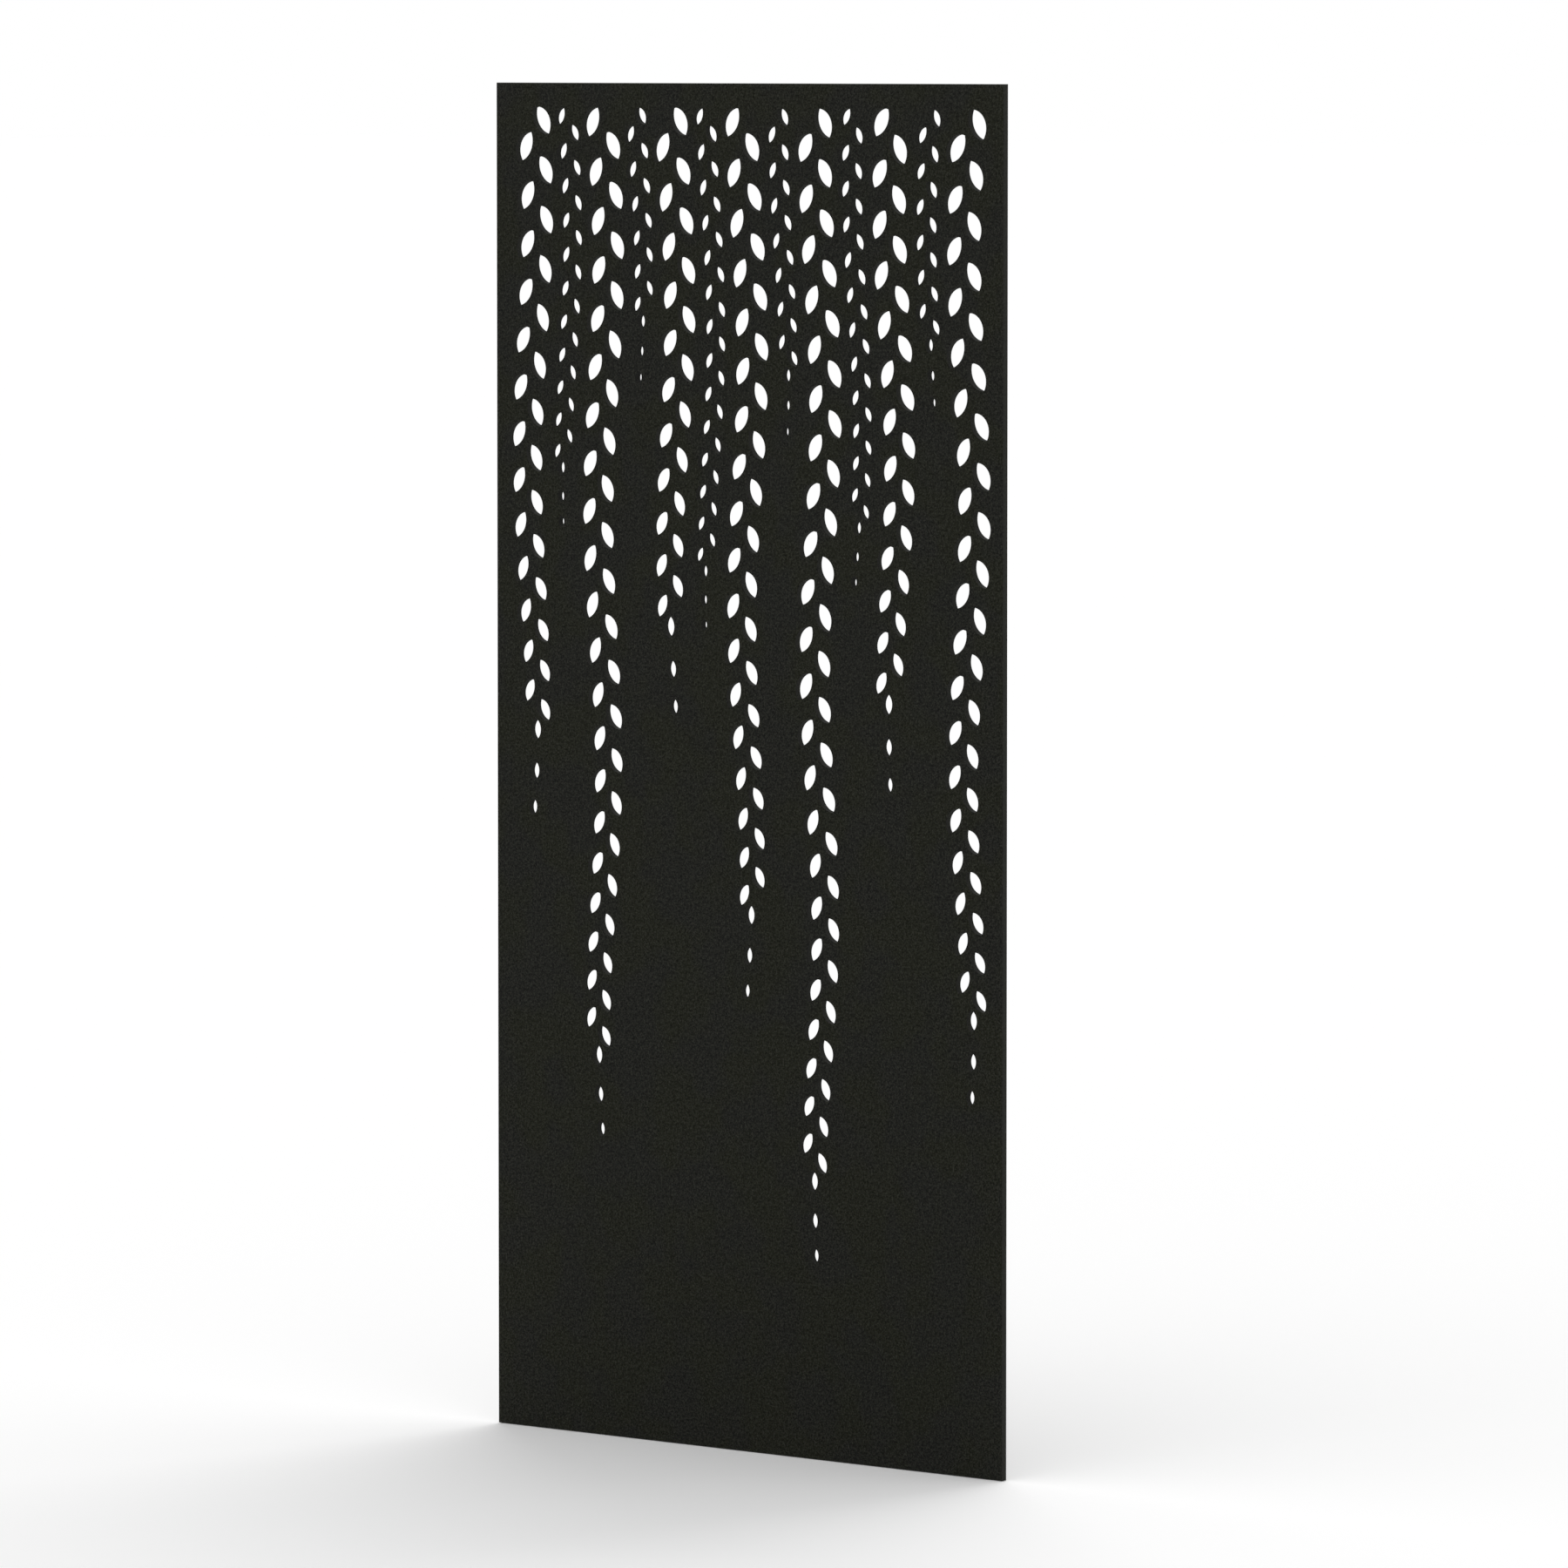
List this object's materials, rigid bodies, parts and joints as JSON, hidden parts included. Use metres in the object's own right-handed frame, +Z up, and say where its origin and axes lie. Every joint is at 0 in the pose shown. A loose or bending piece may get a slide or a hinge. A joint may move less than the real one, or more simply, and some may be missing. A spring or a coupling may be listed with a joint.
{
  "type": "hanging acoustic screen",
  "caption": "Tall flat acoustic screen of pressed felt, cut through with hanging garlands of leaves, hung from threaded inserts sunk in its top edge.",
  "frame": {"origin": "middle of the top edge, on the line between the two hanger threads", "axes": "+Z up, +X to the right as seen from the front, +Y towards the back"},
  "size_m": [1.2, 0.012, 2.4],
  "materials": {
    "felt": "matt pressed felt, charcoal with an olive fleck",
    "insert_brass": "machined, plain"
  },
  "bodies": {
    "root": {"felt_panel": "felt", "hanger_insert_left": "insert_brass", "hanger_insert_right": "insert_brass"}
  },
  "joints": []
}
